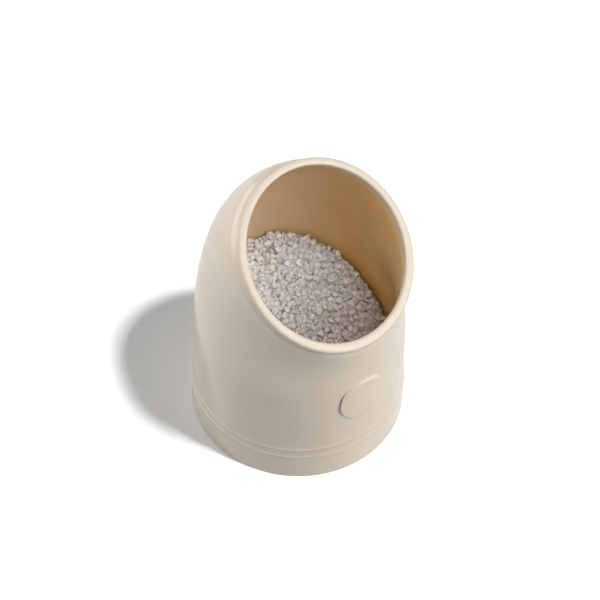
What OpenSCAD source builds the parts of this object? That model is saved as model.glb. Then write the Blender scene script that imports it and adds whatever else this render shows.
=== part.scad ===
// Salt pig: a glazed stoneware pot whose back wall leans over into a hood with a
// tilted round mouth, holding a heap of coarse salt. All sizes are millimetres.
// +Z is up, the mouth looks towards -Y, and the origin is the middle of the foot.

/* [Body] */
// Diameter of the pot at its foot, its widest place
body_d = 110; // [106:0.5:116]
// Diameter at the height where the hood starts
shoulder_d = 105.3; // [102:0.1:108]
// Height where the straight wall ends and the hood starts
shoulder_h = 59.7; // [56:0.1:64]
// Thickness of the side wall
wall = 4.5; // [4:0.25:6]
// Thickness of the floor, from the standing surface
floor_t = 6; // [5:0.5:8]
// Radius of the inside corner between floor and wall
floor_fillet = 9; // [6:0.5:12]

/* [Foot] */
// Rounding of the outer edge of the foot
foot_edge = 0.5; // [0.3:0.1:2]
// Width of the ring that the pot stands on
foot_ring_w = 9; // [6:0.5:12]
// Depth of the hollow inside the standing ring
foot_recess = 1.5; // [1:0.25:2.5]

/* [Beads] */
// Height of the lower raised bead above the table
bead_low = 16.3; // [12:0.1:20]
// Distance from the lower bead up to the upper one
bead_step = 5.6; // [4:0.1:8]
// Width of a bead
bead_w = 2.8; // [2:0.1:3.6]
// How far a bead stands out from the wall
bead_out = 0.4; // [0.2:0.05:0.8]

/* [Hood] */
// Distance in front of the pot's axis of the level line about which the sections turn
lean_reach = 91.8; // [87:0.2:98]
// How sharply the back closes in at the mouth, as a share of the way travelled
back_close_share = 0.31; // [0.1:0.01:0.45]
// How sharply the sides close in at the mouth; below zero they open out
side_close_share = -0.2; // [-0.3:0.05:0.2]
// Power of the front wall's flare towards the lip: higher keeps it straight longer
front_power = 1.5; // [1.2:0.1:4]

/* [Mouth] */
// Outer diameter of the lip
mouth_d = 92.8; // [88:0.2:96]
// Tilt of the mouth from level, in degrees
mouth_tilt = 38.6; // [33:0.2:42]
// Distance from the line that the sections turn about to the middle of the mouth
mouth_reach = 96.3; // [92:0.1:100]
// Mean width of the lip from its outer to its inner edge
lip_w = 4.4; // [4:0.1:6]
// How far the opening lies behind the middle of the lip: it makes the front of the lip wider
opening_back = 0.6; // [0:0.1:1.5]
// Height of the lip's rounded top above the end of the hood
lip_h = 1.8; // [1:0.1:3]
// Depth of the hollow neck under the lip
neck_in = 1.2; // [0.4:0.1:1.6]
// Height of the neck, from under the lip to where it runs out into the hood
neck_h = 7; // [5:0.5:10]
// Size of the neck at the very front of the lip, as a share of its size at the back
neck_front_share = 0.4; // [0.2:0.05:1]

/* [Salt] */
// Height of the heap's crest above the level where the hood starts
crest_over = 10; // [2:0.5:12]
// Distance of the crest behind the pot's axis
crest_back = 36; // [28:0.5:40]
// Slope of the heap towards the front, in degrees
salt_slope = 33; // [26:0.5:34]
// Clearance between the heap and the pot's wall
salt_gap = 0.3; // [0.25:0.05:0.6]

/* [Crystals] */
// Longest edge of a coarse crystal
coarse_edge = 3.6; // [3:0.1:4]
// Longest edge of a middling crystal
medium_edge = 3; // [2.4:0.1:3.4]
// Longest edge of a fine crystal
fine_edge = 2.3; // [1.8:0.1:2.8]
// Clearance between neighbouring crystals
crystal_gap = 0.3; // [0.2:0.05:0.6]
// Clearance between a crystal and the heap it lies on
seat_gap = 0.15; // [0.1:0.05:0.3]
// Seed of the crystals' turns and places
crystal_seed = 7; // [1:1:99]

/* [Hidden] */

glaze_colour = [0.9, 0.86, 0.78];
salt_colour = [0.78, 0.75, 0.74];
crystal_colour = [0.86, 0.84, 0.84];

// Sides round the pot, and sections up its straight, leaning and inner parts
sides = 60;
hood_sections = 22;
inner_sections = 13;
foot_sections = 3;
fillet_sections = 4;
bead_sections = 4;
lip_sections = 7;

body_r = body_d / 2;
shoulder_r = shoulder_d / 2;
mouth_r = mouth_d / 2;
taper = (body_r - shoulder_r) / shoulder_h;
lean = mouth_tilt * PI / 180;
// Crispness of the lip's edges: one is a plain half ellipse, lower is squarer
lip_edge_share = 0.6;
// Place of the deepest part of the neck: lower brings it nearer the lip
neck_place_share = 0.6;
// The neck shrinks towards the front by this power: higher keeps it full at the sides
neck_front_power = 2;
// The hood's sections crowd together towards the mouth by this power
crowd_power = 1.5;

// A cubic that leaves v0 with slope d0 at s = 0 and reaches v1 with slope d1 at s = 1
function ease(s, v0, d0, v1, d1) =
    v0 * (2 * pow(s, 3) - 3 * pow(s, 2) + 1) + d0 * (pow(s, 3) - 2 * pow(s, 2) + s)
    + v1 * (3 * pow(s, 2) - 2 * pow(s, 3)) + d1 * (pow(s, 3) - pow(s, 2));

// Radius of the straight wall at height z, and its height above the wall in a bead
function wall_r(z) = body_r - taper * z;
function bead_rise(u) = bead_out * pow(cos(90 * u), 2);

// The hood's guide curves: how far its back and its front lie from the turning line,
// and half its width, when the section has made share s of its lean
back_0 = lean_reach + shoulder_r;
front_0 = lean_reach - shoulder_r;
back_1 = mouth_reach + mouth_r;
front_1 = mouth_reach - mouth_r;
function back_reach(s) =
    ease(s, back_0, -taper * back_0 * lean, back_1, -back_close_share * back_1 * lean);
function straight_front(s) =
    front_0 / (cos(mouth_tilt * s) - taper * sin(mouth_tilt * s));
function front_reach(s) =
    straight_front(s) + (front_1 - straight_front(1)) * pow(s, front_power);
function half_width(s) =
    ease(s, shoulder_r, -taper * lean_reach * lean, mouth_r, -side_close_share * mouth_reach * lean);

// Size of the neck at an angle round the lip, as a share of its size at the back
function neck_share(angle) =
    1 - (1 - neck_front_share) * pow((1 - cos(angle)) / 2, neck_front_power);

// Depth of the neck at distance d behind the end of the hood
function neck_dip(d, angle) =
    let (way = d / (neck_h * neck_share(angle)))
    way <= 0 || way >= 1 ? 0 : neck_in * neck_share(angle) * sin(180 * pow(way, neck_place_share));

// One point of a section: tilt, the reach of its middle, its half depth and half width,
// its height above its own plane, and the angle round it
function section_point(tilt, middle, depth, width, rise, angle) =
    let (reach = middle + depth * cos(angle))
    [width * sin(angle),
     reach * cos(tilt) - rise * sin(tilt) - lean_reach,
     reach * sin(tilt) + rise * cos(tilt) + shoulder_h];

function round_section(z, r) =
    [for (k = [0:sides - 1]) section_point(0, lean_reach, r, r, z - shoulder_h, 360 * k / sides)];

// A section of the hood at share s, set in from the outer skin and moved back, with or
// without its neck
function hood_section(s, inset, back, neck) =
    let (tilt = mouth_tilt * s,
         middle = (back_reach(s) + front_reach(s)) / 2 + back,
         depth = (back_reach(s) - front_reach(s)) / 2 - inset,
         width = half_width(s) - inset)
    [for (k = [0:sides - 1])
        let (angle = 360 * k / sides,
             behind = (middle + depth * cos(angle)) * sin(mouth_tilt - tilt),
             dip = neck ? neck_dip(behind, angle) : 0)
        section_point(tilt, middle, depth - dip, width - dip, 0, angle)];

// A ring parallel to the mouth, moved back from the middle of the lip
function mouth_section(r, back, rise) =
    [for (k = [0:sides - 1])
        section_point(mouth_tilt, mouth_reach + back, r, r, rise, 360 * k / sides)];

// The lip's profile, from its outer edge over the top to its inner edge
function lip_section(u) =
    let (across = cos(180 * u),
         side = sign(across) * pow(abs(across), lip_edge_share),
         up = pow(sin(180 * u), lip_edge_share))
    mouth_section(mouth_r - (1 - side) * lip_w / 2, (1 - side) * opening_back / 2, up * lip_h);

// The sections over a bead centred at height z
function bead(z) =
    [for (i = [-bead_sections / 2:bead_sections / 2])
        let (u = 2 * i / bead_sections, zz = z + u * bead_w / 2)
        round_section(zz, wall_r(zz) + bead_rise(u))];

function wall_inset(s) = wall + (lip_w - wall) * s;

foot_skin = [
    round_section(foot_recess, body_r - foot_ring_w),
    round_section(0, body_r - foot_ring_w),
    for (i = [0:foot_sections])
        let (a = 90 * i / foot_sections)
        round_section(foot_edge * (1 - cos(a)), wall_r(foot_edge) - foot_edge * (1 - sin(a)))];

hood_skin = [
    for (i = [0:hood_sections])
        hood_section(1 - pow(1 - i / hood_sections, crowd_power), 0, 0, true)];

lip_skin = [
    for (i = [1:lip_sections - 1])
        lip_section(i / lip_sections)];

inner_skin = [
    for (i = [inner_sections:-1:0])
        let (s = i / inner_sections)
        hood_section(s, wall_inset(s), opening_back * s, false)];

floor_skin = [
    for (i = [0:fillet_sections])
        let (a = 90 * i / fillet_sections, z = floor_t + floor_fillet * (1 - sin(a)))
        round_section(z, wall_r(z) - wall - floor_fillet * (1 - cos(a)))];

// Joins sections of equal point counts into one closed skin with flat ends
module loft(sections) {
    rows = len(sections);
    last = (rows - 1) * sides;
    polyhedron(
        points = [for (section = sections) each section],
        faces = concat(
            [[for (k = [0:sides - 1]) k]],
            [[for (k = [sides - 1:-1:0]) last + k]],
            [for (i = [0:rows - 2], k = [0:sides - 1])
                let (a = i * sides + k, b = i * sides + (k + 1) % sides)
                [a, a + sides, b]],
            [for (i = [0:rows - 2], k = [0:sides - 1])
                let (a = i * sides + k, b = i * sides + (k + 1) % sides)
                [b, a + sides, b + sides]]),
        convexity = 6);
}

module pot() {
    color(glaze_colour)
        loft(concat(foot_skin, bead(bead_low), bead(bead_low + bead_step),
                    hood_skin, lip_skin, inner_skin, floor_skin));
}

// The heap's outline from the side: behind the axis is positive
crest_h = shoulder_h + crest_over;
bed_r = body_r - wall - salt_gap;
toe_h = crest_h - (crest_back + body_r) * tan(salt_slope);
heap_outline = [
    [body_r, 0],
    [body_r, crest_h],
    [crest_back, crest_h],
    [-body_r, toe_h],
    [-body_r, 0]];

// Half of the heap's round outline, which keeps its clearance from wall and corner
bed_outline = concat(
    [[0, floor_t]],
    [for (i = [fillet_sections:-1:0])
        let (a = 90 * i / fillet_sections, z = floor_t + floor_fillet * (1 - sin(a)))
        [wall_r(z) - wall - salt_gap - floor_fillet * (1 - cos(a)), z]],
    [[wall_r(crest_h) - wall - salt_gap, crest_h]],
    [[0, crest_h]]);

module salt_bed() {
    color(salt_colour)
        intersection() {
            rotate_extrude($fn = sides)
                polygon(bed_outline);
            rotate([90, 0, 90])
                linear_extrude(body_d, center = true)
                    polygon(heap_outline);
        }
}

// Sides of a crystal as shares of its longest edge
crystal_shares = [1, 0.85, 0.7];
crystal_pitch = coarse_edge * norm(crystal_shares) + crystal_gap;
row_pitch = crystal_pitch * sin(60);

// The heap's surface by the way travelled up it from the toe line
slope_run = (crest_back + bed_r) / cos(salt_slope);
level_run = bed_r - crest_back;
rows = floor((slope_run + level_run) / row_pitch);
columns = floor(bed_r / crystal_pitch);
function on_slope(q) = q < slope_run;
function surface_y(q) = on_slope(q) ? q * cos(salt_slope) - bed_r : crest_back + q - slope_run;
function surface_z(q) = on_slope(q) ? crest_h - (slope_run - q) * sin(salt_slope) : crest_h;
function surface_tilt(q) = on_slope(q) ? salt_slope : 0;

// How far a turned box reaches along a direction: half its sides times the
// direction's shares along its own axes
function turned_back(v, turn) =
    let (c = cos(turn.z), s = sin(turn.z), x1 = c * v.x + s * v.y, y1 = c * v.y - s * v.x,
         cb = cos(turn.y), sb = sin(turn.y), x2 = cb * x1 - sb * v.z, z2 = sb * x1 + cb * v.z,
         ca = cos(turn.x), sa = sin(turn.x))
    [x2, ca * y1 + sa * z2, ca * z2 - sa * y1];
function box_reach(size, turn) =
    let (d = turned_back([0, 0, 1], turn))
    (size.x * abs(d.x) + size.y * abs(d.y) + size.z * abs(d.z)) / 2;

// Which of the three sizes lies at a place of the heap, and its turn
spots = (rows + 1) * (2 * columns + 1);
kinds = rands(0, 3, spots, crystal_seed);
turns = rands(0, 90, 3 * spots, crystal_seed + 1);

// Crystals of one size, each seated on the heap and clear of the wall
module crystals(kind, edge) {
    size = edge * crystal_shares;
    keep = norm(size) / 2 + salt_gap;
    for (row = [0:rows], column = [-columns:columns]) {
        spot = row * (2 * columns + 1) + column + columns;
        q = (row + 0.5) * row_pitch;
        x = (column + (row % 2) / 2) * crystal_pitch;
        turn = [turns[3 * spot], turns[3 * spot + 1], turns[3 * spot + 2]];
        lift = box_reach(size, turn) + seat_gap;
        y = surface_y(q) - lift * sin(surface_tilt(q));
        z = surface_z(q) + lift * cos(surface_tilt(q));
        if (floor(kinds[spot]) == kind && norm([x, y]) < wall_r(z) - wall - keep && z > floor_t + keep)
            translate([x, y, z])
                rotate([surface_tilt(q), 0, 0])
                    rotate(turn)
                        cube(size, center = true);
    }
}

module coarse_crystals() {
    color(crystal_colour)
        crystals(0, coarse_edge);
}

module medium_crystals() {
    color(crystal_colour)
        crystals(1, medium_edge);
}

module fine_crystals() {
    color(crystal_colour)
        crystals(2, fine_edge);
}

pot();
salt_bed();
coarse_crystals();
medium_crystals();
fine_crystals();
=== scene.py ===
import math
import random

import bpy
from mathutils import Matrix, Vector


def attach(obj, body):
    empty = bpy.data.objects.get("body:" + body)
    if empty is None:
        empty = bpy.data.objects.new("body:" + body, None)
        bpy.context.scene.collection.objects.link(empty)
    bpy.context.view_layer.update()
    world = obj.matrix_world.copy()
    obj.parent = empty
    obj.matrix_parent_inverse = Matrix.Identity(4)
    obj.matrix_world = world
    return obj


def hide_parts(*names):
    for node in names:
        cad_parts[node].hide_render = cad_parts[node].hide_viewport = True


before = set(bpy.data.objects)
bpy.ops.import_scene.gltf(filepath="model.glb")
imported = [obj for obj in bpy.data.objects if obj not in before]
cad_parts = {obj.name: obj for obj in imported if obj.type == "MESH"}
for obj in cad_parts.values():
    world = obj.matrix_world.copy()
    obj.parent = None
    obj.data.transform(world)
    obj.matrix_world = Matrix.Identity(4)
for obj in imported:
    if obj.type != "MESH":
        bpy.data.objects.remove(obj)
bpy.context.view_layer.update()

MM = 0.001

# The pot's sizes, as in the CAD source, in metres: the straight wall, its floor and its foot
BODY_R = 55 * MM
SHOULDER_R = 52.65 * MM
SHOULDER_H = 59.7 * MM
TAPER = (BODY_R - SHOULDER_R) / SHOULDER_H
WALL = 4.5 * MM
FLOOR_T = 6 * MM
FLOOR_FILLET = 9 * MM
FOOT_EDGE = 0.5 * MM
FOOT_RING_W = 9 * MM
FOOT_RECESS = 1.5 * MM

# The two raised lines low on the wall
BEAD_HEIGHTS = (16.3 * MM, 21.9 * MM)
BEAD_W = 2.8 * MM
BEAD_OUT = 0.4 * MM

# The hood: how far before the pot's axis the line lies about which its sections turn, how sharply
# its back and sides close in at the mouth, or open if it is below zero, and the power by which
# its front wall flares
LEAN_REACH = 91.8 * MM
BACK_CLOSE = 0.31
SIDE_CLOSE = -0.2
FRONT_POWER = 1.5

# The mouth: its outer radius, its tilt, and how far from the turning line its middle lies
MOUTH_R = 46.4 * MM
MOUTH_TILT = math.radians(38.6)
MOUTH_REACH = 96.3 * MM

# The lip: its width and height, the crispness of its edges, which are squarer if it is lower,
# and how far behind the lip's middle the opening lies
LIP_W = 4.4 * MM
LIP_H = 1.8 * MM
LIP_EDGE = 0.6
OPENING_BACK = 0.6 * MM

# The neck under the lip: its depth and height, its share of both at the very front, the power
# by which it shrinks there, and the place of its deepest part, nearer the lip if it is lower
NECK_IN = 1.2 * MM
NECK_H = 7 * MM
NECK_FRONT = 0.4
NECK_FRONT_POWER = 2
NECK_PLACE = 0.6

# Sides of the pot before its subdivision, which doubles them, steps of its rounded stretches,
# and the power by which the hood's sections crowd together towards the mouth
POT_SIDES = 96
FOOT_STEPS = 3
BEAD_STEPS = 6
HOOD_STEPS = 34
LIP_STEPS = 10
INNER_STEPS = 18
FILLET_STEPS = 5
CROWD_POWER = 1.5

# Heights of the plain sections: under the beads, over them, and down the inside
UNDER_BEADS = 6 * MM
OVER_BEADS = (29 * MM, 40 * MM, 50 * MM)
DOWN_INSIDE = (50 * MM, 38 * MM, 26 * MM)

# The rings that close the pot's two flat ends, as shares of the end's radius
CLOSING_RINGS = (1, 0.7, 0.35)

# How steeply up or down a face looks if it counts as level, and if it belongs to the heap's top
LEVEL_FACE = 0.9
TOP_FACE = 0.5

# The salt heap: a level crest at the back and a slope down to the front
CREST_H = 69.7 * MM
CREST_BACK = 36 * MM
SALT_SLOPE = math.radians(33)
SALT_GAP = 0.3 * MM
SLOPE_RUN = (CREST_BACK + BODY_R) / math.cos(SALT_SLOPE)

# The heap's sides, the pitch of the grid on its top, the grid's lines on each side of the middle,
# and the width and depth of the lumps
HEAP_SIDES = 72
HEAP_GRID = 4 * MM
HEAP_CUTS = 12
LUMP_W = 5 * MM
LUMP_DEPTH = 1.2 * MM

# The plain disc on the front: radius, width of its soft edge, height above the table,
# turn from the front towards the left, and how far it stands out
DISC_R = 13 * MM
DISC_ROUND = 1.6 * MM
DISC_H = 52 * MM
DISC_TURN = math.radians(11.5)
DISC_OUT = 1.0 * MM

# The disc's sides, the steps of its soft edge, its inner rings as shares of its radius,
# and how far before the wall it is made
DISC_SIDES = 72
DISC_STEPS = 8
DISC_RINGS = (0.88, 0.75, 0.6, 0.45, 0.3, 0.15)
DISC_START = 5 * MM

# The crystals: their longest edges, how many there are of each by weight, the spread
# of the edges, and their pitch on the heap
CRYSTAL_EDGES = {"coarse_salt": 3.6 * MM, "medium_salt": 2.8 * MM, "fine_salt": 2.0 * MM}
CRYSTAL_WEIGHTS = (5, 4, 3)
CRYSTAL_SPREAD = (0.85, 1.0)
CRYSTAL_PITCH = 2.0 * MM

# For each layer of crystals the share of places that it fills and its height over the heap in edges
CRYSTAL_LAYERS = ((1.0, 0.15), (0.8, 0.5), (0.4, 0.95))

# How far a crystal strays from its place in pitches, how much higher it may lie, the angle from
# a row to the next row's crystals, and how far a crystal's middle keeps from the wall in edges
CRYSTAL_JITTER = 0.3
CRYSTAL_LIFT = 0.3 * MM
ROW_ANGLE = math.radians(60)
CRYSTAL_KEEP = 0.6

# The crystals' shapes: how many there are, the second and third side as shares of the longest,
# the splits of each, and how far from its middle they lie
CHIPS = 8
CHIP_WIDTH = (0.7, 0.95)
CHIP_HEIGHT = (0.5, 0.8)
CHIP_SPLITS = 4
SPLIT_AT = (0.26, 0.42)

# How finely noise is broken up
SMOOTH = 1.0
PLAIN = 2.0
ROUGH = 3.0
VERY_ROUGH = 4.0

# Most of a noise's values lie between these, so they are stretched to the range that is wanted
NOISE_CORE = (0.35, 0.65)
NOISE_BODY = (0.3, 0.7)

# How strongly glaze and salt bend light
GLAZE_IOR = 1.5
SALT_IOR = 1.54

# The photograph's camera: its turn round the pot, its height over it and its roll in degrees,
# its place in metres, and its lens and film width in millimetres
CAMERA_AZIMUTH = -48.033
CAMERA_ELEVATION = 50.674
CAMERA_ROLL = 1.577
CAMERA_PLACE = (-402.01 * MM, -361.62 * MM, 732.72 * MM)
CAMERA_LENS = 104.62
CAMERA_FILM = 36

# The floor's side and the point that the lights aim at, in metres
FLOOR_SIZE = 6
LIGHT_AIM = (0, 0, 70 * MM)

# How much the floor glows round the part, from which distance to which this rises to plain white,
# and the level of the surround as a light
FLOOR_GLOW = 0.3
FLOOR_FADE = (400 * MM, 1200 * MM)
WORLD_LEVEL = 0.02

# Lights: direction in degrees round from the front and up, distance and size in metres, watts,
# and what they fall on
LIGHTS = (("floor_key", (20.5, 64.5), 5.0, 0.39, 229, "floor"),
          ("floor_fill", (0, 90), 1.4, 1.4, 0.8, "floor"),
          ("front", (15, 38), 1.2, 1.0, 5.4, "part"),
          ("front_right", (40, 40), 1.3, 1.2, 2.8, "part"),
          ("low_right", (30, 20), 1.2, 0.8, 3.6, "part"),
          ("overhead", (-20, 70), 1.2, 0.6, 5.0, "part"),
          ("behind", (180, 35), 1.2, 0.8, 3.8, "part"),
          ("behind_left", (-140, 25), 1.2, 1.1, 8.2, "part"),
          ("salt_front", (-20, 35), 1.2, 0.6, 2.6, "salt"))

SEED = 5
chance = random.Random(SEED)


# Selection and modelling in edit mode

def deselect_all():
    for thing in bpy.context.selected_objects:
        thing.select_set(False)


def start_primitive(add, name, **sizes):
    """Adds a primitive with nothing else selected, names it and opens it in edit mode, all selected."""
    deselect_all()
    add(**sizes)
    piece = bpy.context.object
    piece.name = name
    piece.data.name = name
    bpy.ops.object.mode_set(mode="EDIT")
    bpy.ops.mesh.select_all(action="SELECT")
    return piece


def turn_about_x(angle, centre):
    """Turns the selection about a line along X. With no window the operator turns the other way."""
    if angle != 0:
        bpy.ops.transform.rotate(value=-angle, orient_axis="X", center_override=centre)


# The pot's sections: each is an ellipse in a plane that leans with the hood

def ease(s, start, start_slope, end, end_slope):
    """A cubic that leaves start at s = 0 and reaches end at s = 1, each with its slope."""
    return (start * (2 * s**3 - 3 * s**2 + 1) + start_slope * (s**3 - 2 * s**2 + s)
            + end * (3 * s**2 - 2 * s**3) + end_slope * (s**3 - s**2))


def wall_r(z):
    """The outer radius of the straight wall at a height."""
    return BODY_R - TAPER * z


def section(tilt, middle, depth, width, rise=0.0):
    """An ellipse in a leaning plane: how far its middle lies from the turning line, its half depth
    and half width, and how far it is raised off that plane."""
    centre = Vector((0,
                     middle * math.cos(tilt) - rise * math.sin(tilt) - LEAN_REACH,
                     middle * math.sin(tilt) + rise * math.cos(tilt) + SHOULDER_H))
    return {"centre": centre, "width": width, "depth": depth, "tilt": tilt}


def level_section(z, radius):
    """A level circle about the pot's axis."""
    return section(0, LEAN_REACH, radius, radius, z - SHOULDER_H)


def hood_section(s, inset, moved_back=0.0):
    """A section of the hood when it has made share s of its lean, set in from the outer skin."""
    tilt = MOUTH_TILT * s
    low_back, low_front = LEAN_REACH + SHOULDER_R, LEAN_REACH - SHOULDER_R
    mouth_back, mouth_front = MOUTH_REACH + MOUTH_R, MOUTH_REACH - MOUTH_R
    back = ease(s, low_back, -TAPER * low_back * MOUTH_TILT,
                mouth_back, -BACK_CLOSE * mouth_back * MOUTH_TILT)

    def straight(q):
        """How far from the turning line the front would lie at share q if its wall stayed straight."""
        return low_front / (math.cos(MOUTH_TILT * q) - TAPER * math.sin(MOUTH_TILT * q))

    front = straight(s) + (mouth_front - straight(1)) * s**FRONT_POWER
    width = ease(s, SHOULDER_R, -TAPER * LEAN_REACH * MOUTH_TILT,
                 MOUTH_R, -SIDE_CLOSE * MOUTH_REACH * MOUTH_TILT)
    return section(tilt, (back + front) / 2 + moved_back, (back - front) / 2 - inset, width - inset)


def lip_section(u):
    """A section of the lip, from its outer edge at u = 0 over the top to its inner edge at u = 1."""
    across = math.cos(math.pi * u)
    side = math.copysign(abs(across)**LIP_EDGE, across)
    rise = LIP_H * math.sin(math.pi * u)**LIP_EDGE
    radius = MOUTH_R - (1 - side) * LIP_W / 2
    return section(MOUTH_TILT, MOUTH_REACH + (1 - side) * OPENING_BACK / 2, radius, radius, rise)


def inner_section(s):
    """A section of the hood's inner skin when it has made share s of its lean."""
    return hood_section(s, WALL + (LIP_W - WALL) * s, OPENING_BACK * s)


def pot_sections():
    """All the sections in order: under the foot, up the outside, over the lip and down the inside."""
    sections = [level_section(0.0, BODY_R - FOOT_RING_W + FOOT_EDGE / 2),
                level_section(0.0, BODY_R - FOOT_RING_W / 2),
                level_section(0.0, wall_r(FOOT_EDGE) - FOOT_EDGE)]
    for i in range(1, FOOT_STEPS + 1):
        turn = math.pi / 2 * i / FOOT_STEPS
        sections.append(level_section(FOOT_EDGE * (1 - math.cos(turn)),
                                      wall_r(FOOT_EDGE) - FOOT_EDGE * (1 - math.sin(turn))))
    sections.append(level_section(UNDER_BEADS, wall_r(UNDER_BEADS)))
    for height in BEAD_HEIGHTS:
        for i in range(-BEAD_STEPS // 2, BEAD_STEPS // 2 + 1):
            u = 2 * i / BEAD_STEPS
            z = height + u * BEAD_W / 2
            sections.append(level_section(z, wall_r(z) + BEAD_OUT * math.cos(math.pi / 2 * u)**2))
    for z in OVER_BEADS:
        sections.append(level_section(z, wall_r(z)))
    for i in range(HOOD_STEPS + 1):
        sections.append(hood_section(1 - (1 - i / HOOD_STEPS)**CROWD_POWER, 0))
    for i in range(1, LIP_STEPS):
        sections.append(lip_section(i / LIP_STEPS))
    for i in range(INNER_STEPS, -1, -1):
        sections.append(inner_section(i / INNER_STEPS))
    for z in DOWN_INSIDE:
        sections.append(level_section(z, wall_r(z) - WALL))
    for i in range(FILLET_STEPS + 1):
        turn = math.pi / 2 * i / FILLET_STEPS
        z = FLOOR_T + FLOOR_FILLET * (1 - math.sin(turn))
        sections.append(level_section(z, wall_r(z) - WALL - FLOOR_FILLET * (1 - math.cos(turn))))
    return sections


def extrude_to(now, then):
    """Extrudes the selected loop from one section to the next: level, scaled, leant again and moved."""
    bpy.ops.mesh.extrude_region()
    turn_about_x(-now["tilt"], now["centre"])
    bpy.ops.transform.resize(value=(then["width"] / now["width"], then["depth"] / now["depth"], 1),
                             center_override=now["centre"])
    turn_about_x(then["tilt"], now["centre"])
    bpy.ops.transform.translate(value=then["centre"] - now["centre"])


def close_with_rings(radii, centre):
    """Closes a level loop by ever smaller loops about a centre, and merges the last to a point."""
    for now, then in zip(radii, radii[1:]):
        bpy.ops.mesh.extrude_region()
        bpy.ops.transform.resize(value=(then / now, then / now, 1), center_override=centre)
    bpy.ops.mesh.extrude_region()
    bpy.ops.mesh.merge(type="CENTER")


def close_end(end):
    """Closes the loft at its last section with a flat face of rings."""
    close_with_rings([end["width"] * share for share in CLOSING_RINGS], end["centre"])


def make_pot():
    """The whole pot, lofted from under its foot, over the lip and down to the floor inside."""
    sections = pot_sections()
    first = sections[0]
    pot = start_primitive(bpy.ops.mesh.primitive_circle_add, "glazed_pot", vertices=POT_SIDES,
                          radius=first["width"], location=first["centre"])
    for now, then in zip(sections, sections[1:]):
        extrude_to(now, then)
    close_end(sections[-1])

    # The hollow under the foot, from the standing ring inwards
    select_level_loop(pot, 0.0, first["width"])
    recess_r = BODY_R - FOOT_RING_W
    hollow = [level_section(FOOT_EDGE / 2, recess_r),
              level_section(FOOT_RECESS, recess_r - FOOT_EDGE)]
    for now, then in zip([first] + hollow, hollow):
        extrude_to(now, then)
    close_end(hollow[-1])
    bpy.ops.mesh.select_all(action="SELECT")
    bpy.ops.mesh.normals_make_consistent(inside=False)
    bpy.ops.object.mode_set(mode="OBJECT")
    bpy.ops.object.transform_apply(location=True, rotation=True, scale=True)
    smooth_and_subdivide(pot)
    hollow_the_neck(pot)
    return pot


def select_level_loop(piece, z, radius):
    """Selects the edges of a level loop of that height and radius. The piece is in edit mode."""
    bpy.ops.mesh.select_all(action="DESELECT")
    bpy.ops.object.mode_set(mode="OBJECT")
    near = 0.01 * MM
    place = piece.matrix_world

    def on_loop(index):
        point = place @ piece.data.vertices[index].co
        return abs(point.z - z) < near and abs(math.hypot(point.x, point.y) - radius) < near

    for edge in piece.data.edges:
        edge.select = all(on_loop(index) for index in edge.vertices)
    bpy.ops.object.mode_set(mode="EDIT")
    bpy.ops.mesh.select_mode(type="EDGE")


def smooth_and_subdivide(piece):
    """Shades the piece smooth and subdivides it once, which rounds it."""
    bpy.ops.object.shade_smooth()
    rounding = piece.modifiers.new("round_surface", "SUBSURF")
    rounding.levels = 1
    rounding.render_levels = 1
    bpy.ops.object.modifier_apply(modifier=rounding.name)


def hollow_the_neck(pot):
    """Draws the outer skin in by a shallow band just under the lip, which shrinks to the front."""
    band = pot.vertex_groups.new(name="neck")
    mouth_point = Vector((0, -LEAN_REACH, SHOULDER_H))
    mouth_normal = Vector((0, -math.sin(MOUTH_TILT), math.cos(MOUTH_TILT)))
    for vertex in pot.data.vertices:
        behind = (mouth_point - vertex.co).dot(mouth_normal)
        if not 0 < behind < NECK_H:
            continue
        tilt = math.atan2(vertex.co.z - SHOULDER_H, vertex.co.y + LEAN_REACH)
        here = hood_section(tilt / MOUTH_TILT, 0)
        outward = vertex.co - here["centre"]
        to_back = outward.dot(Vector((0, math.cos(tilt), math.sin(tilt)))) / here["depth"]
        size = 1 - (1 - NECK_FRONT) * ((1 - to_back) / 2)**NECK_FRONT_POWER
        way = behind / (NECK_H * size)
        if way < 1 and vertex.normal.dot(outward) > 0:
            band.add([vertex.index], size * math.sin(math.pi * way**NECK_PLACE), "REPLACE")
    draw_in = pot.modifiers.new("neck", "DISPLACE")
    draw_in.vertex_group = band.name
    draw_in.mid_level = 0
    draw_in.strength = -NECK_IN
    bpy.ops.object.modifier_apply(modifier=draw_in.name)


def finish_pot_faces(pot):
    """Gives the faces inside the mouth the second material and the standing ring the third."""
    inner_slack = 1 * MM
    ring_slack = 0.05 * MM
    for face in pot.data.polygons:
        centre = face.center
        tilt = math.atan2(centre.z - SHOULDER_H, centre.y + LEAN_REACH)
        over_floor = centre.z > FLOOR_T - inner_slack
        if tilt < MOUTH_TILT and over_floor and is_inside_pot(centre, -inner_slack):
            face.material_index = 1
        elif centre.z < ring_slack and face.normal.z < -LEVEL_FACE:
            face.material_index = 2


# The disc, the heap and the crystals

def select_faces(piece, wanted):
    """Selects the faces of a piece in edit mode whose centre and normal pass a test."""
    bpy.ops.mesh.select_mode(type="FACE")
    bpy.ops.mesh.select_all(action="DESELECT")
    bpy.ops.object.mode_set(mode="OBJECT")
    place = piece.matrix_world
    turn = place.to_3x3()
    for face in piece.data.polygons:
        face.select = wanted(place @ face.center, turn @ face.normal)
    bpy.ops.object.mode_set(mode="EDIT")


def finish_piece(piece):
    """Leaves edit mode with normals outward and the place of the piece in its mesh."""
    bpy.ops.mesh.select_all(action="SELECT")
    bpy.ops.mesh.normals_make_consistent(inside=False)
    bpy.ops.object.mode_set(mode="OBJECT")
    bpy.ops.object.transform_apply(location=True, rotation=True, scale=True)


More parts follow.
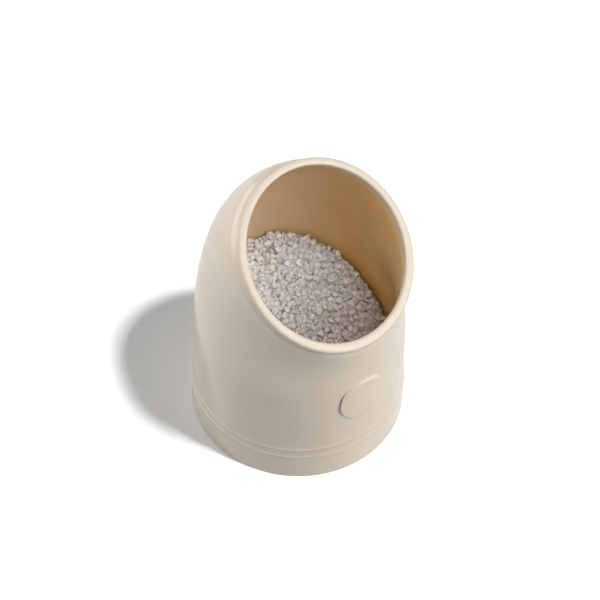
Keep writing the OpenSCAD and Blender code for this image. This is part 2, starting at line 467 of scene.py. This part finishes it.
def make_disc(pot):
    """A plain low round disc on the front wall: rings laid on the wall and raised by a soft-edged step."""
    outer_r = DISC_R + DISC_ROUND
    disc = start_primitive(bpy.ops.mesh.primitive_circle_add, "plain_disc", vertices=DISC_SIDES,
                           radius=outer_r)
    edge_radii = [DISC_R + DISC_ROUND * (0.5 - i / DISC_STEPS) for i in range(1, DISC_STEPS)]
    inner_radii = [DISC_R * share for share in DISC_RINGS]
    close_with_rings([outer_r] + edge_radii + inner_radii, Vector((0, 0, 0)))
    bpy.ops.mesh.select_all(action="SELECT")
    turn_about_x(math.radians(90), Vector((0, 0, 0)))
    bpy.ops.transform.translate(value=(0, -BODY_R - DISC_START, DISC_H))
    bpy.ops.transform.rotate(value=DISC_TURN, orient_axis="Z", center_override=(0, 0, 0))
    finish_piece(disc)
    bpy.ops.object.shade_smooth()

    lie_on_wall = disc.modifiers.new("lie_on_wall", "SHRINKWRAP")
    lie_on_wall.target = pot
    lie_on_wall.wrap_method = "NEAREST_SURFACEPOINT"
    bpy.ops.object.modifier_apply(modifier=lie_on_wall.name)
    middle = sum((vertex.co for vertex in disc.data.vertices), Vector()) / len(disc.data.vertices)
    step = disc.vertex_groups.new(name="step")
    for vertex in disc.data.vertices:
        outward = ((vertex.co - middle).length - DISC_R) / DISC_ROUND + 0.5
        step.add([vertex.index], 0.5 + 0.5 * math.cos(math.pi * min(max(outward, 0), 1)), "REPLACE")
    raise_step = disc.modifiers.new("raise_step", "DISPLACE")
    raise_step.vertex_group = step.name
    raise_step.mid_level = 0
    raise_step.strength = DISC_OUT
    bpy.ops.object.modifier_apply(modifier=raise_step.name)
    return disc


def make_salt_heap():
    """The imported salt: a tapered cylinder with a rounded foot, cut to its slope, its top made uneven."""
    low_r = wall_r(FLOOR_T) - WALL - SALT_GAP
    high_r = wall_r(CREST_H) - WALL - SALT_GAP
    heap = start_primitive(bpy.ops.mesh.primitive_cylinder_add, "salt_heap", vertices=HEAP_SIDES,
                           radius=low_r, depth=CREST_H - FLOOR_T,
                           location=(0, 0, (CREST_H + FLOOR_T) / 2))
    select_faces(heap, lambda centre, normal: normal.z > LEVEL_FACE)
    bpy.ops.transform.resize(value=(high_r / low_r, high_r / low_r, 1))
    select_faces(heap, lambda centre, normal: normal.z < -LEVEL_FACE)
    bpy.ops.mesh.bevel(offset=FLOOR_FILLET, segments=FILLET_STEPS, affect="EDGES")
    bpy.ops.mesh.select_all(action="SELECT")
    bpy.ops.mesh.bisect(plane_co=(0, CREST_BACK, CREST_H),
                        plane_no=(0, -math.sin(SALT_SLOPE), math.cos(SALT_SLOPE)),
                        clear_outer=True, use_fill=True)
    for i in range(-HEAP_CUTS, HEAP_CUTS + 1):
        for across in ((1, 0, 0), (0, 1, 0)):
            select_faces(heap, lambda centre, normal: normal.z > TOP_FACE)
            bpy.ops.mesh.bisect(plane_co=Vector(across) * i * HEAP_GRID, plane_no=across)
    finish_piece(heap)

    top = heap.vertex_groups.new(name="top")
    for face in heap.data.polygons:
        if face.normal.z > TOP_FACE:
            top.add(list(face.vertices), 1, "REPLACE")
    lumps = bpy.data.textures.new("lumps", "CLOUDS")
    lumps.noise_scale = LUMP_W
    press_in = heap.modifiers.new("press_in", "DISPLACE")
    press_in.texture = lumps
    press_in.vertex_group = top.name
    press_in.mid_level = 1
    press_in.strength = LUMP_DEPTH
    bpy.ops.object.modifier_apply(modifier=press_in.name)
    return heap


def make_chip(name):
    """A crystal whose longest edge is one unit: a drawn-in cube with corners and edges split off."""
    chip = start_primitive(bpy.ops.mesh.primitive_cube_add, name, size=1)
    bpy.ops.transform.resize(value=(1, chance.uniform(*CHIP_WIDTH), chance.uniform(*CHIP_HEIGHT)))
    for _ in range(CHIP_SPLITS):
        normal = Vector([chance.uniform(-1, 1) for _ in range(3)]).normalized()
        bpy.ops.mesh.select_all(action="SELECT")
        bpy.ops.mesh.bisect(plane_co=normal * chance.uniform(*SPLIT_AT), plane_no=normal,
                            clear_outer=True, use_fill=True)
    finish_piece(chip)
    return chip


def surface_point(across, up_slope):
    """A point on the heap's top and its tilt there, by the way across and the way up from the toe."""
    if up_slope < SLOPE_RUN:
        drop = (SLOPE_RUN - up_slope) * math.sin(SALT_SLOPE)
        return Vector((across, up_slope * math.cos(SALT_SLOPE) - BODY_R, CREST_H - drop)), SALT_SLOPE
    return Vector((across, CREST_BACK + up_slope - SLOPE_RUN, CREST_H)), 0.0


def is_inside_pot(point, keep):
    """Whether a point lies inside the pot's inner skin with a distance to spare."""
    if point.z < SHOULDER_H:
        return math.hypot(point.x, point.y) < wall_r(point.z) - WALL - keep
    reach = math.hypot(point.z - SHOULDER_H, point.y + LEAN_REACH)
    tilt = math.atan2(point.z - SHOULDER_H, point.y + LEAN_REACH)
    here = inner_section(tilt / MOUTH_TILT)
    middle = math.hypot(here["centre"].z - SHOULDER_H, here["centre"].y + LEAN_REACH)
    return math.hypot((reach - middle) / (here["depth"] - keep), point.x / (here["width"] - keep)) < 1


def scatter_crystals(chips):
    """Lays copies of the chips over the heap in jittered layers. Each of the sizes becomes one piece."""
    copies = {name: [] for name in CRYSTAL_EDGES}
    row_pitch = CRYSTAL_PITCH * math.sin(ROW_ANGLE)
    rows = int((SLOPE_RUN + BODY_R - CREST_BACK) / row_pitch)
    columns = int(BODY_R / CRYSTAL_PITCH)
    for share, lift in CRYSTAL_LAYERS:
        for row in range(rows):
            for column in range(-columns, columns + 1):
                name = chance.choices(list(CRYSTAL_EDGES), weights=CRYSTAL_WEIGHTS)[0]
                edge = CRYSTAL_EDGES[name] * chance.uniform(*CRYSTAL_SPREAD)
                across = (column + row % 2 / 2 + stray()) * CRYSTAL_PITCH
                up_slope = (row + stray()) * row_pitch
                point, tilt = surface_point(across, up_slope)
                height = lift * edge + chance.uniform(0, CRYSTAL_LIFT)
                point += Vector((0, -math.sin(tilt), math.cos(tilt))) * height
                keep = edge * CRYSTAL_KEEP + SALT_GAP
                if chance.random() > share or not is_inside_pot(point, keep):
                    continue
                copies[name].append(lay_crystal(chance.choice(chips), point, tilt, edge))
    for chip in chips:
        bpy.data.objects.remove(chip)
    return {name: join_pieces(group, name) for name, group in copies.items()}


def lay_crystal(chip, point, tilt, edge):
    """Lays a copy of a chip at a point of the heap, turned at random, with a longest edge in metres."""
    crystal = chip.copy()
    crystal.data = chip.data.copy()
    turn = Matrix.Rotation(tilt, 4, "X") @ random_turn()
    crystal.matrix_world = Matrix.Translation(point) @ turn @ Matrix.Scale(edge, 4)
    bpy.context.scene.collection.objects.link(crystal)
    return crystal


def stray():
    """How far a crystal strays from its place, in pitches."""
    return chance.uniform(-CRYSTAL_JITTER, CRYSTAL_JITTER)


def random_turn():
    """A turn about each of the three axes, by any angle."""
    turn = Matrix.Identity(4)
    for axis in "XYZ":
        turn = turn @ Matrix.Rotation(chance.uniform(0, 2 * math.pi), 4, axis)
    return turn


def join_pieces(group, name):
    """Joins the pieces to one of that name, with its place in its mesh."""
    deselect_all()
    for piece in group:
        piece.select_set(True)
    bpy.context.view_layer.objects.active = group[0]
    bpy.ops.object.join()
    joined = bpy.context.object
    joined.name = name
    joined.data.name = name
    bpy.ops.object.transform_apply(location=True, rotation=True, scale=True)
    return joined


# Materials

def linear(colour):
    """An sRGB hex colour as linear values with full alpha."""
    channels = [int(colour[i:i + 2], 16) / 255 for i in (1, 3, 5)]
    return [c / 12.92 if c <= 0.04045 else ((c + 0.055) / 1.055)**2.4 for c in channels] + [1.0]


def add_node(tree, kind, links=None, **values):
    """Adds a node. Keys of values that name a setting set it, others set the socket of that name."""
    node = tree.nodes.new(kind)
    for name, value in values.items():
        if hasattr(node, name):
            setattr(node, name, value)
        else:
            node.inputs[name.replace("_", " ")].default_value = value
    for name, source in (links or {}).items():
        tree.links.new(source, node.inputs[name])
    return node


def new_material(name):
    """An empty node material with its output node."""
    material = bpy.data.materials.new(name)
    material.use_nodes = True
    tree = material.node_tree
    tree.nodes.clear()
    return material, tree, tree.nodes.new("ShaderNodeOutputMaterial")


def own_place(tree):
    """A point's place in the object's own coordinates, in metres."""
    return add_node(tree, "ShaderNodeTexCoord").outputs["Object"]


def uneven(tree, size, detail=PLAIN):
    """Soft noise on the object's own coordinates, with lumps of a real size in metres."""
    return add_node(tree, "ShaderNodeTexNoise", {"Vector": own_place(tree)},
                    Scale=1 / size, Detail=detail).outputs["Fac"]


def grains(tree, size):
    """Crisp grains of a real size on the object's own coordinates: a random value each, and a height."""
    cells = add_node(tree, "ShaderNodeTexVoronoi", {"Vector": own_place(tree)}, Scale=1 / size)
    value = add_node(tree, "ShaderNodeSeparateColor", {"Color": cells.outputs["Color"]}).outputs["Red"]
    return value, cells.outputs["Distance"]


def between(tree, factor, low, high, to_low, to_high):
    """Maps a value from one range to another, clamped."""
    spread = add_node(tree, "ShaderNodeMapRange", {"Value": factor}, From_Min=low, From_Max=high,
                      To_Min=to_low, To_Max=to_high)
    return spread.outputs["Result"]


def reckon(tree, operation, first, second):
    """The outcome of a sum on two values, such as MULTIPLY, or MAXIMUM for the larger one."""
    node = add_node(tree, "ShaderNodeMath", operation=operation)
    tree.links.new(first, node.inputs[0])
    tree.links.new(second, node.inputs[1])
    return node.outputs["Value"]


def blend(tree, factor, first, second):
    """A colour between two others. Each is a socket or an sRGB hex colour."""
    mix = add_node(tree, "ShaderNodeMix", data_type="RGBA", clamp_factor=True)
    tree.links.new(factor, mix.inputs["Factor"])
    for name, colour in (("A", first), ("B", second)):
        socket = next(s for s in mix.inputs if s.name == name and s.type == "RGBA")
        if isinstance(colour, str):
            socket.default_value = linear(colour)
        else:
            tree.links.new(colour, socket)
    return next(s for s in mix.outputs if s.type == "RGBA")


def bumps(tree, layers):
    """Chained bump nodes. Each layer is a height value and its full height in metres."""
    normal = None
    for height, depth in layers:
        bump = add_node(tree, "ShaderNodeBump", {"Height": height}, Strength=1.0, Distance=depth)
        if normal is not None:
            tree.links.new(normal, bump.inputs["Normal"])
        normal = bump.outputs["Normal"]
    return normal


def coat(tree, output, colour, roughness, layers, **values):
    """Gives a material its surface: colour, roughness and bumps from nodes, and other plain values."""
    shader = add_node(tree, "ShaderNodeBsdfPrincipled", {
        "Base Color": colour, "Roughness": roughness, "Normal": bumps(tree, layers)}, **values)
    tree.links.new(shader.outputs["BSDF"], output.inputs["Surface"])


def under_mouth(tree):
    """How far a point lies under the plane of the mouth, in metres. It is less than zero on the lip."""
    from_mouth = add_node(tree, "ShaderNodeVectorMath", operation="SUBTRACT")
    tree.links.new(own_place(tree), from_mouth.inputs[0])
    from_mouth.inputs[1].default_value = (0, -LEAN_REACH, SHOULDER_H)
    depth = add_node(tree, "ShaderNodeVectorMath", operation="DOT_PRODUCT")
    tree.links.new(from_mouth.outputs["Vector"], depth.inputs[0])
    depth.inputs[1].default_value = (0, math.sin(MOUTH_TILT), -math.cos(MOUTH_TILT))
    return depth.outputs["Value"]


def cream_glaze():
    """Glossy cream glaze: faint warm clouds, thinner and darker over the lip, a hardly seen ripple."""
    material, tree, output = new_material("cream_glaze")
    clouds = between(tree, uneven(tree, 22 * MM), *NOISE_CORE, 0, 1)
    wall = blend(tree, clouds, "#e9dcca", "#e6d8c5")
    on_lip = between(tree, under_mouth(tree), 0, -1 * MM, 0, 1)
    colour = blend(tree, on_lip, wall, "#e1d4c1")
    roughness = between(tree, uneven(tree, 6 * MM), *NOISE_BODY, 0.09, 0.15)
    ripple = uneven(tree, 16 * MM, SMOOTH)
    pits = uneven(tree, 1.3 * MM)
    coat(tree, output, colour, roughness, [(ripple, 0.06 * MM), (pits, 0.003 * MM)], IOR=GLAZE_IOR)
    return material


def honey_glaze():
    """The glaze inside: cream at the lip, then honey, with painted light making it paler down the back of
    the hood than at the sides.
    """
    material, tree, output = new_material("honey_glaze")
    clouds = between(tree, uneven(tree, 18 * MM), *NOISE_CORE, 0, 1)
    deep = blend(tree, clouds, "#f3cb84", "#efc67d")
    # Painted light: the inner back wall, where light falls straight in through the mouth, is painted paler
    # than the sides
    backward = add_node(tree, "ShaderNodeSeparateXYZ", {"Vector": own_place(tree)}).outputs["Y"]
    painted_light_at_back = between(tree, backward, 10 * MM, 45 * MM, 0, 1)
    honey = blend(tree, painted_light_at_back, deep, "#f0d9b8")
    past_lip = between(tree, under_mouth(tree), 0.3 * MM, 4 * MM, 0, 1)
    colour = blend(tree, past_lip, "#ecdcc0", honey)
    roughness = between(tree, uneven(tree, 6 * MM), *NOISE_BODY, 0.16, 0.26)
    ripple = uneven(tree, 14 * MM, SMOOTH)
    pits = uneven(tree, 1.3 * MM)
    coat(tree, output, colour, roughness, [(ripple, 0.08 * MM), (pits, 0.004 * MM)], IOR=GLAZE_IOR)
    return material


def bare_stoneware():
    """The unglazed ring that the pot stands on: matt, grainy and a little soiled."""
    material, tree, output = new_material("bare_stoneware")
    soil = between(tree, uneven(tree, 7 * MM, VERY_ROUGH), 0.45, 0.7, 0, 1)
    colour = blend(tree, soil, "#cfc0a6", "#b3a284")
    grain = uneven(tree, 0.5 * MM, ROUGH)
    roughness = between(tree, grain, *NOISE_BODY, 0.75, 0.95)
    coat(tree, output, colour, roughness, [(grain, 0.06 * MM)])
    return material


def salt_crystal():
    """Frosted rock salt: light goes deep into it, with grey, white and lilac grains, and it is scuffed."""
    material, tree, output = new_material("salt_crystal")
    value, height = grains(tree, 1.8 * MM)
    tint = between(tree, uneven(tree, 4 * MM, SMOOTH), *NOISE_CORE, 0, 1)
    pale = blend(tree, tint, "#faf9f6", "#f2f1f8")
    colour = blend(tree, value, "#d5d3d6", pale)
    roughness = between(tree, uneven(tree, 0.5 * MM, ROUGH), *NOISE_CORE, 0.3, 0.6)
    coat(tree, output, colour, roughness, [(height, 0.15 * MM)], IOR=SALT_IOR,
         Subsurface_Weight=0.8, Subsurface_Scale=2 * MM, Subsurface_Radius=(1.0, 0.95, 0.9))
    return material


def packed_salt():
    """The finer packed salt between and under the crystals: matt, grainy, a little darker."""
    material, tree, output = new_material("packed_salt")
    value, height = grains(tree, 0.9 * MM)
    colour = blend(tree, value, "#b7b4b6", "#edecec")
    roughness = between(tree, value, 0, 1, 0.6, 0.9)
    coat(tree, output, colour, roughness, [(height, 0.4 * MM)])
    return material


def white_floor():
    """A studio floor: white and faintly glowing to the eye, and greyer in what it throws on the pot."""
    material, tree, output = new_material("white_floor")
    rays = add_node(tree, "ShaderNodeLightPath")
    by_eye, by_mirror = rays.outputs["Is Camera Ray"], rays.outputs["Is Glossy Ray"]
    shade = between(tree, uneven(tree, 300 * MM), *NOISE_BODY, 0, 1)
    seen = blend(tree, shade, "#f4f4f4", "#f6f6f6")
    unseen = blend(tree, by_mirror, "#b9b9b9", "#cccccc")
    colour = blend(tree, by_eye, unseen, seen)
    shader = add_node(tree, "ShaderNodeBsdfPrincipled", {"Base Color": colour}, Roughness=0.7)
    distance = add_node(tree, "ShaderNodeVectorMath", {"Vector": own_place(tree)}, operation="LENGTH")
    far_glow = between(tree, distance.outputs["Value"], *FLOOR_FADE, FLOOR_GLOW, 1)
    to_eye = reckon(tree, "MULTIPLY", far_glow, by_eye)
    to_mirror = between(tree, by_mirror, 0, 1, 0, FLOOR_GLOW)
    strength = reckon(tree, "MAXIMUM", to_eye, to_mirror)
    glow = add_node(tree, "ShaderNodeEmission", {"Strength": strength}, Color=linear("#ffffff"))
    total = add_node(tree, "ShaderNodeAddShader")
    tree.links.new(shader.outputs["BSDF"], total.inputs[0])
    tree.links.new(glow.outputs["Emission"], total.inputs[1])
    tree.links.new(total.outputs["Shader"], output.inputs["Surface"])
    return material


# Camera, floor and light

def make_camera():
    """The photograph's camera: seen from the front left and above, at a long focal length."""
    azimuth, elevation, roll = (math.radians(angle)
                                for angle in (CAMERA_AZIMUTH, CAMERA_ELEVATION, CAMERA_ROLL))
    data = bpy.data.cameras.new("camera")
    data.lens = CAMERA_LENS
    data.sensor_width = CAMERA_FILM
    camera = bpy.data.objects.new("camera", data)
    bpy.context.scene.collection.objects.link(camera)
    camera.matrix_world = (Matrix.Translation(CAMERA_PLACE) @ Matrix.Rotation(azimuth, 4, "Z")
                           @ Matrix.Rotation(math.pi / 2 - elevation, 4, "X")
                           @ Matrix.Rotation(roll, 4, "Z"))
    bpy.context.scene.camera = camera


def make_floor():
    """The floor. It is staged, so it isn't part of the object."""
    deselect_all()
    bpy.ops.mesh.primitive_plane_add(size=FLOOR_SIZE)
    floor = bpy.context.object
    floor.name = "floor"
    floor.data.materials.append(white_floor())
    return floor


def add_softbox(name, towards, distance, size, power):
    """A square white light that faces the pot. Its direction is given round from the front and up."""
    data = bpy.data.lights.new(name, "AREA")
    data.shape = "SQUARE"
    data.size = size
    data.energy = power
    light = bpy.data.objects.new(name, data)
    bpy.context.scene.collection.objects.link(light)
    azimuth, elevation = (math.radians(angle) for angle in towards)
    back = Vector((math.sin(azimuth) * math.cos(elevation), -math.cos(azimuth) * math.cos(elevation),
                   math.sin(elevation)))
    light.location = Vector(LIGHT_AIM) + back * distance
    light.rotation_mode = "QUATERNION"
    light.rotation_quaternion = (-back).to_track_quat("-Z", "Y")
    return light


def reach_only(light, things):
    """Lets a light fall on these things alone. Everything still casts its shadow in it."""
    group = bpy.data.collections.new(light.name + "_reach")
    for thing in things:
        group.objects.link(thing)
    light.light_linking.receiver_collection = group


def make_surround():
    """White for the eye and for what is seen through glass, nearly black for everything else."""
    world = bpy.data.worlds.new("studio")
    world.use_nodes = True
    tree = world.node_tree
    surround = tree.nodes["Background"]
    surround.inputs["Color"].default_value = linear("#ffffff")
    rays = add_node(tree, "ShaderNodeLightPath")
    seen = reckon(tree, "MAXIMUM", rays.outputs["Is Camera Ray"], rays.outputs["Is Transmission Ray"])
    tree.links.new(between(tree, seen, 0, 1, WORLD_LEVEL, 1), surround.inputs["Strength"])
    bpy.context.scene.world = world


def make_lights(reaches):
    """A small key and a fill for the floor alone, soft boxes for the part alone, and one for the salt."""
    for name, towards, distance, size, power, reach in LIGHTS:
        reach_only(add_softbox(name, towards, distance, size, power), reaches[reach])


# The scene

bpy.context.scene.view_settings.view_transform = "Standard"
make_camera()
make_surround()
floor = make_floor()

pot = make_pot()
disc = make_disc(pot)
heap = make_salt_heap()
crystals = scatter_crystals([make_chip("chip_%d" % i) for i in range(CHIPS)])

glaze = cream_glaze()
salt = salt_crystal()
for finish in (glaze, honey_glaze(), bare_stoneware()):
    pot.data.materials.append(finish)
finish_pot_faces(pot)
disc.data.materials.append(glaze)
heap.data.materials.append(packed_salt())
for piece in crystals.values():
    piece.data.materials.clear()
    piece.data.materials.append(salt)

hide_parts("pot")
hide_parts("salt_bed")
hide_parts("coarse_crystals")
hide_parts("medium_crystals")
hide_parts("fine_crystals")
pieces = [pot, disc, heap, *crystals.values()]
for piece in pieces:
    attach(piece, "root")
make_lights({"floor": [floor], "part": pieces, "salt": [heap, *crystals.values()]})
